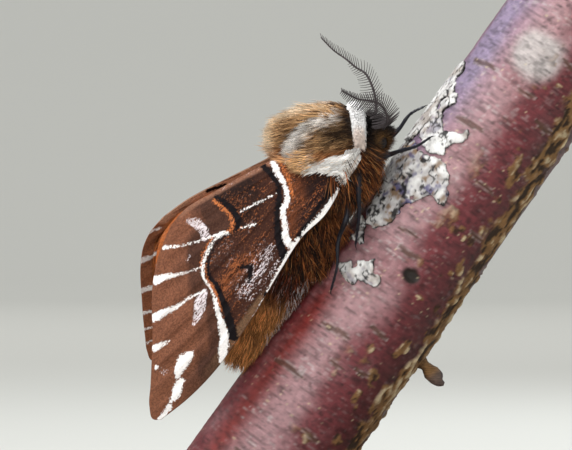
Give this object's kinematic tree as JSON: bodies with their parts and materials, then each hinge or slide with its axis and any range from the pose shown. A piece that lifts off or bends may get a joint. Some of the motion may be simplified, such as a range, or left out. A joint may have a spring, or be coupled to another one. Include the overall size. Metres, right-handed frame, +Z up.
{
  "type": "kentish glory moth model",
  "caption": "Life-size model of a male kentish glory moth at rest with roofed wings, gripping a slanting length of lichened birch branch on a small stand.",
  "frame": {"origin": "middle of the base's underside, on the surface that the stand rests on", "axes": "+Z up, +X along the base towards the side the branch leans to, -Y towards the viewer who sees the moth's right side as in the picture"},
  "size_m": [0.08, 0.056, 0.0682],
  "materials": {
    "walnut": "dark oiled walnut, satin",
    "brass": "polished brass, slightly brushed",
    "bark": "smooth red-brown young birch bark with lenticels and pale lichen",
    "thorax_fur": "dense tan and dark brown fur with white collar and patches",
    "abdomen_fur": "long rust brown fur with a pale lower fringe",
    "head_fur": "short black and tan hair",
    "eye": "glossy black compound eye",
    "antenna": "dark grey-brown feathered antenna",
    "forewing_scales": "brown scales with white and black lines and white spots at the tip",
    "hindwing_scales": "orange-brown scales with a dark line",
    "leg": "blue-black chitin, satin"
  },
  "bodies": {
    "root": {"stand_base": "walnut", "stand_rod": "brass", "perch_branch": "bark", "thorax": "thorax_fur", "abdomen": "abdomen_fur", "head": "head_fur", "eye_right": "eye", "eye_left": "eye", "antenna_right": "antenna", "antenna_left": "antenna", "forewing_right": "forewing_scales", "forewing_left": "forewing_scales", "hindwing_right": "hindwing_scales", "hindwing_left": "hindwing_scales", "foreleg_right": "leg", "foreleg_left": "leg", "midleg_right": "leg", "midleg_left": "leg", "hindleg_right": "leg", "hindleg_left": "leg"}
  },
  "joints": []
}
